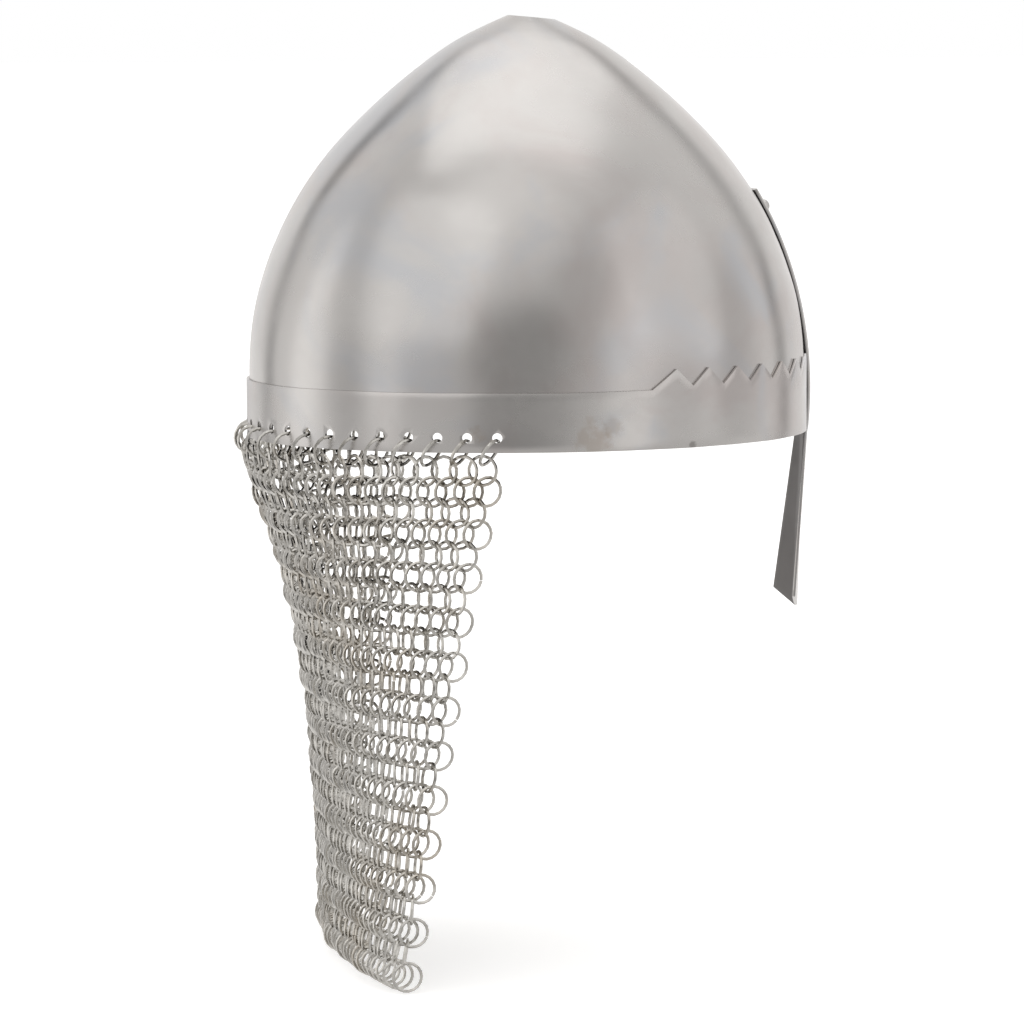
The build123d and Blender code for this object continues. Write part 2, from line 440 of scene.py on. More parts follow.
def add_noise(tree, vector, scale, detail=3.0, roughness=0.55, distortion=0.0):
    """A noise texture read at a vector."""
    node = tree.nodes.new("ShaderNodeTexNoise")
    node.inputs["Detail"].default_value = detail
    node.inputs["Roughness"].default_value = roughness
    node.inputs["Distortion"].default_value = distortion
    if isinstance(scale, bpy.types.NodeSocket):
        tree.links.new(scale, node.inputs["Scale"])
    else:
        node.inputs["Scale"].default_value = scale
    tree.links.new(vector, node.inputs["Vector"])
    return node.outputs["Fac"]


def add_range(tree, value, low, high, to_low=0.0, to_high=1.0, smooth=True):
    """A value taken from one range to another."""
    node = tree.nodes.new("ShaderNodeMapRange")
    node.interpolation_type = "SMOOTHSTEP" if smooth else "LINEAR"
    tree.links.new(value, node.inputs["Value"])
    for label, amount in (("From Min", low), ("From Max", high), ("To Min", to_low), ("To Max", to_high)):
        if isinstance(amount, bpy.types.NodeSocket):
            tree.links.new(amount, node.inputs[label])
        else:
            node.inputs[label].default_value = amount
    return node.outputs["Result"]


def add_math(tree, operation, first, second=None):
    """One sum of two values."""
    node = tree.nodes.new("ShaderNodeMath")
    node.operation = operation
    for index, amount in enumerate((first, second)):
        if isinstance(amount, bpy.types.NodeSocket):
            tree.links.new(amount, node.inputs[index])
        elif amount is not None:
            node.inputs[index].default_value = amount
    return node.outputs[0]


def add_mix(tree, factor, first, second):
    """One colour laid over another."""
    node = tree.nodes.new("ShaderNodeMix")
    node.data_type = "RGBA"
    for socket, amount in ((node.inputs[0], factor), (node.inputs[6], first), (node.inputs[7], second)):
        if isinstance(amount, bpy.types.NodeSocket):
            tree.links.new(amount, socket)
        elif isinstance(amount, (int, float)):
            socket.default_value = amount
        else:
            socket.default_value = (*amount, 1.0)
    return node.outputs[2]


def add_mapping(tree, vector, location=(0, 0, 0), scale=(1, 1, 1)):
    """A vector moved and stretched."""
    node = tree.nodes.new("ShaderNodeMapping")
    node.inputs["Location"].default_value = location
    node.inputs["Scale"].default_value = scale
    tree.links.new(vector, node.inputs["Vector"])
    return node.outputs["Vector"]


def clouded_steel_group():
    """Soft warm and cool clouds on polished steel, with small dark pits."""
    group, inlet, outlet = node_group(
        "Clouded Steel",
        [
            ("Vector", "NodeSocketVector", None),
            ("Size", "NodeSocketFloat", 14.0),
            ("Amount", "NodeSocketFloat", 0.7),
            ("Steel", "NodeSocketColor", None),
            ("Warm", "NodeSocketColor", None),
            ("Cool", "NodeSocketColor", None),
            ("Pits", "NodeSocketFloat", 0.5),
        ],
        [("Color", "NodeSocketColor"), ("Haze", "NodeSocketFloat")],
    )
    vector, size = inlet.outputs["Vector"], inlet.outputs["Size"]
    warm = add_noise(group, vector, size, detail=5, roughness=0.6, distortion=0.9)
    warm = add_math(group, "MULTIPLY", add_range(group, warm, 0.42, 0.68), inlet.outputs["Amount"])
    colour = add_mix(group, warm, inlet.outputs["Steel"], inlet.outputs["Warm"])
    shifted = add_mapping(group, vector, location=(0.37, 0.11, 0.23))
    cool = add_noise(group, shifted, size, detail=4, roughness=0.55, distortion=1.4)
    cool = add_math(group, "MULTIPLY", add_range(group, cool, 0.5, 0.72), inlet.outputs["Amount"])
    colour = add_mix(group, cool, colour, inlet.outputs["Cool"])
    moved = add_mapping(group, vector, location=(0.9, 0.4, 0.1))
    haze = add_noise(group, moved, size, detail=6, roughness=0.65)
    cells = group.nodes.new("ShaderNodeTexVoronoi")
    cells.inputs["Scale"].default_value = 34.0
    group.links.new(vector, cells.inputs["Vector"])
    pits = add_range(group, cells.outputs["Distance"], 0.012, 0.03, 1.0, 0.0)
    chosen = add_noise(group, vector, 9.0, detail=1)
    pits = add_math(group, "MULTIPLY", pits, add_range(group, chosen, 0.55, 0.6))
    pits = add_math(group, "MULTIPLY", pits, inlet.outputs["Pits"])
    colour = add_mix(group, pits, colour, (0.05, 0.045, 0.04))
    group.links.new(colour, outlet.inputs["Color"])
    group.links.new(haze, outlet.inputs["Haze"])
    return group


def worked_surface_group():
    """Height of hammered, ground and polished steel, in millimetres."""
    group, inlet, outlet = node_group(
        "Worked Surface",
        [
            ("Vector", "NodeSocketVector", None),
            ("Dents", "NodeSocketFloat", 0.2),
            ("Dent Size", "NodeSocketFloat", 22.0),
            ("Scratches", "NodeSocketFloat", 0.004),
        ],
        [("Height", "NodeSocketFloat")],
    )
    vector = inlet.outputs["Vector"]
    dents = add_noise(group, vector, inlet.outputs["Dent Size"], detail=1.5, roughness=0.4)
    height = add_math(group, "MULTIPLY", dents, inlet.outputs["Dents"])
    level = add_noise(group, add_mapping(group, vector, scale=(60, 60, 900)), 1.0, detail=4, roughness=0.7)
    height = add_math(group, "ADD", height, add_math(group, "MULTIPLY", level, inlet.outputs["Scratches"]))
    grinding = add_mapping(group, vector, location=(3, 1, 2), scale=(700, 700, 40))
    upright = add_noise(group, grinding, 1.0, detail=3, roughness=0.6)
    scratches = add_math(group, "MULTIPLY", inlet.outputs["Scratches"], 0.6)
    height = add_math(group, "ADD", height, add_math(group, "MULTIPLY", upright, scratches))
    group.links.new(height, outlet.inputs["Height"])
    return group


def spot_mark_group():
    """A mask of ragged marks round one place."""
    group, inlet, outlet = node_group(
        "Spot Mark",
        [
            ("Vector", "NodeSocketVector", None),
            ("Place", "NodeSocketVector", None),
            ("Spread", "NodeSocketFloat", 0.01),
            ("Grain", "NodeSocketFloat", 160.0),
        ],
        [("Mask", "NodeSocketFloat")],
    )
    away = group.nodes.new("ShaderNodeVectorMath")
    away.operation = "DISTANCE"
    group.links.new(inlet.outputs["Vector"], away.inputs[0])
    group.links.new(inlet.outputs["Place"], away.inputs[1])
    near = add_range(group, away.outputs["Value"], 0.0, inlet.outputs["Spread"], 1.0, 0.0)
    grain = add_noise(group, inlet.outputs["Vector"], inlet.outputs["Grain"], detail=5, roughness=0.7)
    mask = add_range(group, add_math(group, "MULTIPLY", near, grain), 0.28, 0.5)
    group.links.new(mask, outlet.inputs["Mask"])
    return group


def shared_group(name, maker):
    """A node group that is built once."""
    return bpy.data.node_groups.get(name) or maker()


def place_group(tree, group, vector, **values):
    """A node group in a material, with this material's own values."""
    node = tree.nodes.new("ShaderNodeGroup")
    node.node_tree = group
    tree.links.new(vector, node.inputs["Vector"])
    for label, amount in values.items():
        socket = node.inputs[label.replace("_", " ")]
        if isinstance(amount, bpy.types.NodeSocket):
            tree.links.new(amount, socket)
        elif isinstance(amount, (int, float)):
            socket.default_value = amount
        elif socket.type == "RGBA":
            socket.default_value = (*amount, 1.0)
        else:
            socket.default_value = amount
    return node


def new_material(name):
    """A material with its shader, and Object coordinates to read patterns at."""
    material = bpy.data.materials.new(name)
    material.use_nodes = True
    tree = material.node_tree
    shader = tree.nodes["Principled BSDF"]
    coordinates = tree.nodes.new("ShaderNodeTexCoord").outputs["Object"]
    return material, tree, shader, coordinates


def attribute(tree, name):
    """A value kept on a piece's verts."""
    node = tree.nodes.new("ShaderNodeAttribute")
    node.attribute_name = name
    return node.outputs["Fac"]


def steel_material(name, size, amount, smoothness, dents, dent_size, scratches, pits=0.2, marks=()):
    """Polished plate steel: clouds, haze, dents, scratches, an inner side darkened with painted shade and made
    rougher as unpolished steel, and stains.
    """
    finish = finishes()
    material, tree, shader, coordinates = new_material(name)
    clouds = place_group(
        tree, shared_group("Clouded Steel", clouded_steel_group), coordinates, Size=size, Amount=amount,
        Steel=finish.steel, Warm=finish.warm_cloud, Cool=finish.cool_cloud, Pits=pits,
    )
    colour = clouds.outputs["Color"]
    rough = add_range(tree, clouds.outputs["Haze"], 0.3, 0.72, smoothness, smoothness + 0.14)
    for place, spread, strength, tone in marks:
        mark = place_group(
            tree, shared_group("Spot Mark", spot_mark_group), coordinates, Place=place, Spread=spread
        ).outputs["Mask"]
        mark = add_math(tree, "MULTIPLY", mark, strength)
        colour = add_mix(tree, mark, colour, tone)
        rough = add_math(tree, "ADD", rough, add_math(tree, "MULTIPLY", mark, 0.25))
    # Inner faces: the darker colour is painted shade of the helmet's inside; the added roughness stands for
    # unpolished steel.
    inside = add_range(tree, attribute(tree, "inner_side"), 0.85, 1.0)
    colour = add_mix(tree, inside, colour, finish.inner_painted_shade)
    rough = add_math(tree, "ADD", rough, add_math(tree, "MULTIPLY", inside, 0.22))
    surface = place_group(
        tree, shared_group("Worked Surface", worked_surface_group), coordinates, Dents=dents,
        Dent_Size=dent_size, Scratches=scratches,
    )
    bump = tree.nodes.new("ShaderNodeBump")
    bump.inputs["Distance"].default_value = 0.001
    tree.links.new(surface.outputs["Height"], bump.inputs["Height"])
    tree.links.new(colour, shader.inputs["Base Color"])
    tree.links.new(rough, shader.inputs["Roughness"])
    tree.links.new(bump.outputs["Normal"], shader.inputs["Normal"])
    shader.inputs["Metallic"].default_value = 1.0
    return material


def wire_material(name):
    """Zinc-grey wire: each ring its own tone, with a brownish film in places."""
    finish = finishes()
    material, tree, shader, coordinates = new_material(name)
    tone = attribute(tree, "ring_tone")
    dulled = add_range(tree, tone, 0, 1, 0, 0.45, smooth=False)
    colour = add_mix(tree, dulled, finish.wire, (0.44, 0.43, 0.41))
    film = add_range(tree, add_noise(tree, coordinates, 26.0, detail=4, roughness=0.6), 0.45, 0.7, 0, 0.6)
    colour = add_mix(tree, film, colour, finish.wire_patina)
    fine = add_noise(tree, coordinates, 900.0, detail=3, roughness=0.6)
    colour = add_mix(tree, add_range(tree, fine, 0.55, 0.75, 0, 0.35), colour, (0.16, 0.15, 0.13))
    rough = add_range(tree, fine, 0.3, 0.7, 0.14, 0.30)
    bump = tree.nodes.new("ShaderNodeBump")
    bump.inputs["Distance"].default_value = 0.00002
    tree.links.new(fine, bump.inputs["Height"])
    tree.links.new(colour, shader.inputs["Base Color"])
    tree.links.new(rough, shader.inputs["Roughness"])
    tree.links.new(bump.outputs["Normal"], shader.inputs["Normal"])
    shader.inputs["Metallic"].default_value = 1.0
    return material


# Pieces


class HELMET_OT_skull_dome(bpy.types.Operator):
    """Raise the skull from its side outline, with a small flat at the point"""

    bl_idname = "helmet.skull_dome"
    bl_label = "Skull"

    def execute(self, context):
        sizes = plates()
        surface = cad_surface("skull_dome")
        foot = skull_low.z + 0.00002
        facet = skull_high.z
        bm = bmesh.new()
        outline = []
        outline_steps = 66
        for step in range(outline_steps + 1):
            share = step / outline_steps
            height = foot + (facet - 0.0012 - foot) * math.sin(share * math.pi / 2)
            outline.append(bm.verts.new((back_reach(surface, height), 0, height)))
        slope = (outline[-1].co - outline[-2].co).normalized()
        tip = outline[-1].co - slope * (outline[-1].co.x / slope.x)
        last = outline[-1].co.copy()
        for part in (0.35, 0.7, 1.0):
            outline.append(bm.verts.new(last.lerp(tip, part)))
        outline[-1].co.x = 0
        edges = [bm.edges.new(pair) for pair in zip(outline, outline[1:])]
        bmesh.ops.spin(
            bm, geom=outline + edges, cent=(0, 0, 0), axis=(0, 0, 1), angle=math.tau,
            steps=sizes.skull_steps, use_merge=True,
        )
        bmesh.ops.remove_doubles(bm, verts=bm.verts[:], dist=1e-6)
        tilt = Vector((math.tan(sizes.facet_tilt), 0, 1)).normalized()
        middle = Vector((0, 0, facet - abs(tilt.x) * 0.009))
        cut = bmesh.ops.bisect_plane(
            bm, geom=bm.verts[:] + bm.edges[:] + bm.faces[:], plane_co=middle, plane_no=tilt, clear_outer=True
        )
        rim = [item for item in cut["geom_cut"] if isinstance(item, bmesh.types.BMEdge)]
        bmesh.ops.edgeloop_fill(bm, edges=rim)
        half_length = (skull_high.x - skull_low.x) / 2
        half_width = (skull_high.y - skull_low.y) / 2
        bmesh.ops.scale(bm, vec=(1, half_width / half_length, 1), verts=bm.verts[:])
        bmesh.ops.recalc_face_normals(bm, faces=bm.faces[:])
        if sum(face.normal.dot(face.calc_center_median()) for face in bm.faces) < 0:
            bmesh.ops.reverse_faces(bm, faces=bm.faces[:])
        bm.normal_update()
        for vert in bm.verts:
            clear = min(max((vert.co.z - band_high.z) / 0.02, 0), 1)
            near_nasal = min(abs(vert.co.y) / 0.02, 1) if vert.co.x > 0 else 1
            wave = noise.noise(vert.co * 19) + 0.4 * noise.noise(vert.co * 43)
            vert.co += vert.normal * sizes.planishing * wave * clear * near_nasal
        thicken(bm, sizes.sheet)
        file_edges(bm, sizes.edge_round)
        steel = steel_material(
            "skull_steel", size=11.0, amount=0.75, smoothness=0.17, dents=0.35, dent_size=17.0,
            scratches=0.006,
        )
        skull = add_piece("skull_plate", bm, steel, crease=math.radians(24))
        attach(skull, "helmet")
        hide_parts("skull_dome")
        return {"FINISHED"}


class HELMET_OT_brow_band(bpy.types.Operator):
    """Roll the brow band, with its teeth in front and its row of holes behind"""

    bl_idname = "helmet.brow_band"
    bl_label = "Brow Band"

    def top_edge(self, along, hand):
        """Height of the band's upper edge at a distance from the middle of the brow."""
        sizes = plates()
        pitch = sizes.tooth_pitch
        span = (sizes.tooth_count - 1) * pitch / 2
        away = abs(along)
        if away > span + 1e-6:
            slope = 1 - (away - span) / sizes.end_flank
            rise = (band_high.z - sizes.plain_height) * max(slope, 0)
            return sizes.plain_height + rise + 0.00025 * noise.noise(Vector((along * 25, 3, 0)))
        step = along / pitch
        near_valley = abs((step - math.floor(step)) - 0.5) * 2
        uneven = 0.0004 * hand[round(step * 2)]
        rise = (band_high.z - sizes.tooth_valley) * near_valley
        return sizes.tooth_valley + rise + uneven * (0.5 - near_valley)

    def execute(self, context):
        sizes = plates()
        half_length = (band_high.x - band_low.x) / 2
        half_width = (band_high.y - band_low.y) / 2
        oval = OvalStretch(0, half_length, half_width, 0, -math.pi, math.tau, steps=2880)
        seed = random.Random(11)
        hand = {step: seed.uniform(-1, 1) for step in range(-40, 41)}
        sixth = sizes.tooth_pitch / 6
        reach = 3 * (sizes.tooth_count - 1)
        teeth = [step * sixth for step in range(-reach, reach + 1)]
        foot = teeth[-1] + sizes.end_flank
        plain_steps = 64
        rest = [foot + (oval.length / 2 - foot) * step / plain_steps for step in range(plain_steps + 1)]
        flank = [teeth[-1] + sizes.end_flank * part for part in (0.33, 0.67)]
        columns = [-x for x in reversed(flank + rest)] + teeth + flank + rest
        bm = bmesh.new()
        bmesh.ops.create_grid(bm, x_segments=len(columns) - 1, y_segments=7, size=0.5)
        for vert in bm.verts:
            along = columns[round((vert.co.x + 0.5) * (len(columns) - 1))]
            height = self.top_edge(along, hand) * (vert.co.y + 0.5)
            if height < 1e-6:
                height = 0.00018 * (noise.noise(Vector((along * 60, 7, 0))) + 1) * 0.5
            vert.co = oval.spot(0.5 + along / oval.length) + UP * height
        bmesh.ops.remove_doubles(bm, verts=bm.verts[:], dist=1e-6)
        bmesh.ops.recalc_face_normals(bm, faces=bm.faces[:])
        if sum(face.normal.dot(face.calc_center_median()) for face in bm.faces) < 0:
            bmesh.ops.reverse_faces(bm, faces=bm.faces[:])
        thicken(bm, sizes.sheet)
        finish = finishes()
        steel = steel_material(
            "band_steel", size=16.0, amount=0.8, smoothness=0.2, dents=0.3, dent_size=26.0, scratches=0.008,
            marks=(
                ((0.008, -0.1012, 0.006), 0.020, 0.22, finish.stain),
                ((0.016, -0.1008, 0.010), 0.012, 0.16, finish.stain),
                ((-0.040, -0.0955, 0.008), 0.010, 0.24, finish.stain),
                ((0.052, -0.0915, 0.001), 0.005, 0.5, (0.1, 0.09, 0.08)),
            ),
        )
        band = add_piece("brow_band_plate", bm, steel)
        drill = bmesh.new()
        middle = OvalStretch(
            0, half_length - sizes.sheet / 2, half_width - sizes.sheet / 2, sizes.hole_height,
            math.pi + mail().wrap / 2, -mail().wrap,
        )
        for index in range(sizes.hole_count):
            share = (index + 0.5) / sizes.hole_count
            outward = middle.heading(share).cross(UP)
            turn = outward.to_track_quat("Z", "Y").to_matrix().to_4x4()
            bmesh.ops.create_cone(
                drill, cap_ends=True, segments=20, radius1=sizes.hole_diameter / 2,
                radius2=sizes.hole_diameter / 2, depth=4 * sizes.sheet,
                matrix=Matrix.Translation(middle.spot(share)) @ turn,
            )
        cutter = add_piece("hole_drill", drill, steel)
        holes = band.modifiers.new("Holes", "BOOLEAN")
        holes.object = cutter
        holes.operation = "DIFFERENCE"
        holes.solver = "EXACT"
        context.view_layer.update()
        drilled = bpy.data.meshes.new_from_object(band.evaluated_get(context.evaluated_depsgraph_get()))
        bpy.data.objects.remove(band)
        bpy.data.objects.remove(cutter)
        bm = bmesh.new()
        bm.from_mesh(drilled)
        bpy.data.meshes.remove(drilled)
        file_edges(bm, sizes.edge_round)
        band = add_piece("brow_band_plate", bm, steel)
        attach(band, "helmet")
        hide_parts("brow_band")
        return {"FINISHED"}


class HELMET_OT_nasal_guard(bpy.types.Operator):
    """Lay the nasal's strip down the skull and fold its guard below the brow"""

    bl_idname = "helmet.nasal_guard"
    bl_label = "Nasal"

    def execute(self, context):
        sizes = plates()
        surface = cad_surface("nasal_guard")
        across_steps, up_steps = 12, 60
        top, tip = nasal_high.z, nasal_low.z
        foot_half = (nasal_high.y - nasal_low.y) / 2
        strip_half = sizes.strip_width / 2
        bm = bmesh.new()
        bmesh.ops.create_grid(bm, x_segments=across_steps, y_segments=up_steps, size=0.5)
        for vert in bm.verts:
            side = vert.co.x * 2
            share = vert.co.y + 0.5
            low = tip + (-sizes.corner_depth - tip) * abs(side)
            high = top - 0.0002
            z = low + 0.0002 + (high - low - 0.0002) * share
            widen = max(-z, 0) / sizes.corner_depth
            half = strip_half + (foot_half - strip_half) * min(widen, 1.0)
            y = side * (half - 0.0001)
            vert.co = (front_reach(surface, y, z), y, z)
        bmesh.ops.recalc_face_normals(bm, faces=bm.faces[:])
        if sum(face.normal.x for face in bm.faces) < 0:
            bmesh.ops.reverse_faces(bm, faces=bm.faces[:])
        thicken(bm, sizes.nasal_sheet)
        file_edges(bm, sizes.edge_round)
        steel = steel_material(
            "nasal_steel", size=18.0, amount=0.7, smoothness=0.2, dents=0.2, dent_size=30.0, scratches=0.01
        )
        nasal = add_piece("nasal_plate", bm, steel)
        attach(nasal, "helmet")
        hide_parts("nasal_guard")
        return {"FINISHED"}


class HELMET_OT_nasal_rivet(bpy.types.Operator):
    """Finish the rivet that holds the nasal to the skull"""

    bl_idname = "helmet.nasal_rivet"
    bl_label = "Nasal Rivet"

    def execute(self, context):
        steel = steel_material(
            "rivet_steel", size=120.0, amount=0.8, smoothness=0.24, dents=0.05, dent_size=420.0,
            scratches=0.004, pits=0.0,
        )
        rivet = frame["nodes"]["nasal_rivet"]
        rivet.data.materials.clear()
        rivet.data.materials.append(steel)
        return {"FINISHED"}


class HELMET_OT_mail_curtain(bpy.types.Operator):
    """Link the rows of rings and the rings that hang them from the band"""

    bl_idname = "helmet.mail_curtain"
    bl_label = "Mail Curtain"

    def hole_stretch(self):
        """The band's middle line along its row of holes."""
        half_length = (band_high.x - band_low.x) / 2 - plates().sheet / 2
        half_width = (band_high.y - band_low.y) / 2 - plates().sheet / 2
        wrap = mail().wrap
        return OvalStretch(0, half_length, half_width, 0, math.pi + wrap / 2, -wrap)

    def row_stretch(self, depth):
        """The curtain's middle line at a depth under the band."""
        ring = mail()
        middle_length = (band_high.x - band_low.x) / 2 - plates().sheet / 2
        middle_width = (band_high.y - band_low.y) / 2 - plates().sheet / 2
        below = max(depth - FIRST_ROW, 0)
        draw = 1 - math.exp(-((below / ring.draw_depth) ** ring.draw_power))
        half_wrap = ring.wrap / 2
        pull = ring.edge_start + ring.edge_draw * (1 - math.exp(-below / ring.edge_draw_depth))
        edge_x = -middle_length * math.cos(half_wrap) - pull - ring.edge_slope * below
        edge_y = middle_width * math.sqrt(1 - (edge_x / middle_length) ** 2) + ring.side_spread * draw
        back_x = -middle_length + ring.back_draw * draw
        along = (edge_x - back_x) / (1 - math.cos(half_wrap))
        aside = edge_y / math.sin(half_wrap)
        return OvalStretch(back_x + along, along, aside, -depth, math.pi + half_wrap, -ring.wrap)

    def row_spot(self, stretch, share):
        """A place on a row's middle line, with the rise or sag that the row has towards its ends."""
        ring = mail()
        spot = stretch.spot(share)
        below = max(-spot.z - FIRST_ROW, 0)
        aside = abs(2 * share - 1)
        lift = ring.edge_lift * math.exp(-below / ring.edge_lift_depth) * aside**2
        sag = ring.edge_sag * (1 - math.exp(-below / ring.edge_sag_depth)) * aside**4
        return spot + UP * (lift - sag)

    def ring_place(self, centre, across, down, lean):
        """The matrix of a ring that hangs down a sheet, turned by its lean from edge-on."""
        out = across.cross(down).normalized()
        level = down.cross(out)
        radial = level * math.sin(lean) + out * math.cos(lean)
        axis = radial.cross(down).normalized()
        side = axis.cross(radial)
        turned = Matrix((radial, side, axis)).transposed().to_4x4()
        return Matrix.Translation(centre) @ turned

    def ring_template(self):
        """One bent ring whose two cut ends meet a little out of line."""
        ring = mail()
        bm = bmesh.new()
        turn = Matrix.Translation((ring.ring / 2, 0, 0)) @ Matrix.Rotation(math.pi / 2, 4, "X")
        section = bmesh.ops.create_circle(
            bm, cap_ends=False, segments=ring.wire_sides, radius=ring.wire / 2, matrix=turn
        )
        gap = 2 * ring.cut / ring.ring
        geometry = section["verts"] + bm.edges[:]
        bmesh.ops.spin(
            bm, geom=geometry, cent=(0, 0, 0), axis=(0, 0, 1), angle=math.tau - gap, steps=ring.ring_steps,
            dvec=(0, 0, 0.00025 / ring.ring_steps),
        )
        ends = [edge for edge in bm.edges if edge.is_boundary]
        bmesh.ops.holes_fill(bm, edges=ends, sides=0)
        bmesh.ops.recalc_face_normals(bm, faces=bm.faces[:])
        template = bpy.data.meshes.new("ring_template")
        bm.to_mesh(template)
        bm.free()
        return template

    def link_row(self, name, places, template, seed, wire, loose=1.0):
        """One row of rings at their places."""
        ring = mail()
        bm = bmesh.new()
        tone = bm.verts.layers.float.new("ring_tone")
        for place in places:
            spin = Matrix.Rotation(seed.uniform(0, math.tau), 4, "Z")
            tilt = Matrix.Rotation(seed.gauss(0, ring.slack) * loose, 4, "Y")
            swing = Matrix.Rotation(seed.gauss(0, ring.slack * 0.6) * loose, 4, "X")
            first = len(bm.verts)
            copy = template.copy()
            copy.transform(place @ tilt @ swing @ spin)
            bm.from_mesh(copy)
            bpy.data.meshes.remove(copy)
            bm.verts.ensure_lookup_table()
            shade = seed.random()
            for vert in bm.verts[first:]:
                vert[tone] = shade
        return add_piece(name, bm, wire, crease=math.radians(60))

    def execute(self, context):
        ring = mail()
        seed = random.Random(24)
        template = self.ring_template()
        wire = wire_material("mail_wire")
        rear = self.hole_stretch()
        first = self.row_stretch(FIRST_ROW)
        count = plates().hole_count
        hangers = []
        for index in range(count):
            share = (index + 0.5) / count
            along = rear.heading(share)
            offset = (first.spot(share) - rear.spot(share)).dot(along)
            slant = math.asin(ring.hanger_reach * offset / HANGING_RING)
            down = along * math.sin(slant) - UP * math.cos(slant)
            centre = rear.spot(share) + UP * (HANGING_RING / 2 - HANGER_DROP) + down * HANGING_RING / 2
            hangers.append(self.ring_place(centre, along, down, ring.hanger_lean))
        piece = self.link_row("hanger_ring_row", hangers, template, seed, wire, loose=0.5)
        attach(piece, "helmet")
        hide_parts("hanger_rings")
        body_of_row = {}
        for body, members in frame["record"]["behaviour"]["bodies"].items():
            for member in members:
                body_of_row[member] = body
        depth = FIRST_ROW
        widest = rear.length / ring.columns
        for row, node in enumerate(curtain_rows):
            turn = -1 if row % 2 == 0 else 1
            level = self.row_stretch(depth)
            above = self.row_stretch(depth - ring.row_pitch / 3)
            under = self.row_stretch(depth + ring.row_pitch / 3)
            spacing = level.length / ring.columns
            spread = max((spacing - GATHERED_SPACING) / (widest - GATHERED_SPACING), 0)
            lean = ring.lean_gathered + (ring.lean_spread - ring.lean_gathered) * spread
            settle = min(row / 3, 1)
            places = []
            for column in range(ring.columns):
                share = (column + 0.5 - 0.25 * turn) / ring.columns
                down = (self.row_spot(under, share) - self.row_spot(above, share)).normalized()
                across = level.heading(share)
                centre = self.row_spot(level, share)
                out = across.cross(down).normalized()
                wave = noise.noise(Vector((share * 9, depth * 24, 0.3)))
                drift = noise.noise(Vector((share * 7, depth * 20, 5.3)))
                centre = centre + out * ring.ripple * wave * settle + across * 0.0009 * drift * settle
                places.append(self.ring_place(centre, across, down, turn * lean))
            piece = self.link_row(f"mail_rings_{row + 1:02d}", places, template, seed, wire)
            body = body_of_row[node]
            if f"{body}:{node}" in self.bends():
                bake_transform(piece)
            else:
                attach(piece, body)
            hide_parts(node)
            depth += ring.row_pitch - ring.row_crowding * math.exp(-row / CROWDED_ROWS)
        bpy.data.meshes.remove(template)
        return {"FINISHED"}

    def bends(self):
        """Rows that the joints in model.json list as deforming between two parts of the curtain."""
        found = set()
        for joint in frame["joints"]:
            for entry in joint.get("deforming_nodes", []):
                found.add(f"{joint['child']}:{entry['node']}")
        return found


# Studio


def facing(tree, direction, toward):
    """How nearly a direction points one way: 1 straight at it, -1 straight away."""
    unit = tree.nodes.new("ShaderNodeVectorMath")
    unit.operation = "NORMALIZE"
    tree.links.new(direction, unit.inputs[0])
    dot = tree.nodes.new("ShaderNodeVectorMath")
    dot.operation = "DOT_PRODUCT"
    tree.links.new(unit.outputs["Vector"], dot.inputs[0])
    dot.inputs[1].default_value = Vector(toward).normalized()
    return dot.outputs["Value"]


def world_light(context):
    """White all round, with the darker side that a camera and its room leave in polished steel."""
    world = bpy.data.worlds.new("studio_room")
    context.scene.world = world
    world.use_nodes = True
    tree = world.node_tree
    tree.nodes.clear()
    direction = tree.nodes.new("ShaderNodeTexCoord").outputs["Generated"]
    brightness = add_range(tree, facing(tree, direction, (-0.19, -0.98, 0)), -0.75, 0.5, 1.0, 0.68)
    edge = add_math(tree, "ADD", facing(tree, direction, (-0.19, -0.98, 0)), 0.57)
    edge = add_range(tree, add_math(tree, "ABSOLUTE", edge), 0.02, 0.12, 0.4, 1.0)
    brightness = add_math(tree, "MULTIPLY", brightness, edge)
    upright = add_mapping(tree, direction, scale=(1, 1, 0.32))
    for source, toward, inner, outer, factor in (
        (direction, (-0.12, -0.99, 0.02), 0.985, 0.92, 0.52),
        (direction, (0.30, -0.90, 0.30), 0.990, 0.93, 0.86),
        (direction, (0.97, -0.24, 0.12), 0.985, 0.93, 0.82),
        (direction, (-0.05, -0.30, 0.95), 0.96, 0.80, 1.32),
        (direction, (-0.15, -0.68, 0.70), 0.97, 0.90, 1.18),
        (upright, (-0.98, 0.19, 0), 0.995, 0.965, 1.6),
        (upright, (-0.855, -0.515, 0), 0.998, 0.985, 1.5),
        (upright, (0.522, -0.853, 0), 0.997, 0.98, 1.6),
        (upright, (0.904, -0.429, 0), 0.999, 0.994, 1.4),
        (upright, (-0.95, -0.25, 0), 0.997, 0.985, 0.86),
    ):
        patch = add_range(tree, facing(tree, source, toward), outer, inner, 1.0, factor)
        brightness = add_math(tree, "MULTIPLY", brightness, patch)
    room = tree.nodes.new("ShaderNodeBackground")
    tree.links.new(brightness, room.inputs["Strength"])
    room.inputs["Color"].default_value = (1.0, 0.985, 0.975, 1.0)
    white = tree.nodes.new("ShaderNodeBackground")
    white.inputs["Color"].default_value = (1, 1, 1, 1)
    white.inputs["Strength"].default_value = bpy.context.scene.helmet_studio.backdrop
    path = tree.nodes.new("ShaderNodeLightPath")
    mix = tree.nodes.new("ShaderNodeMixShader")
    output = tree.nodes.new("ShaderNodeOutputWorld")
    tree.links.new(path.outputs["Is Camera Ray"], mix.inputs[0])
    tree.links.new(room.outputs[0], mix.inputs[1])
    tree.links.new(white.outputs[0], mix.inputs[2])
    tree.links.new(mix.outputs[0], output.inputs[0])


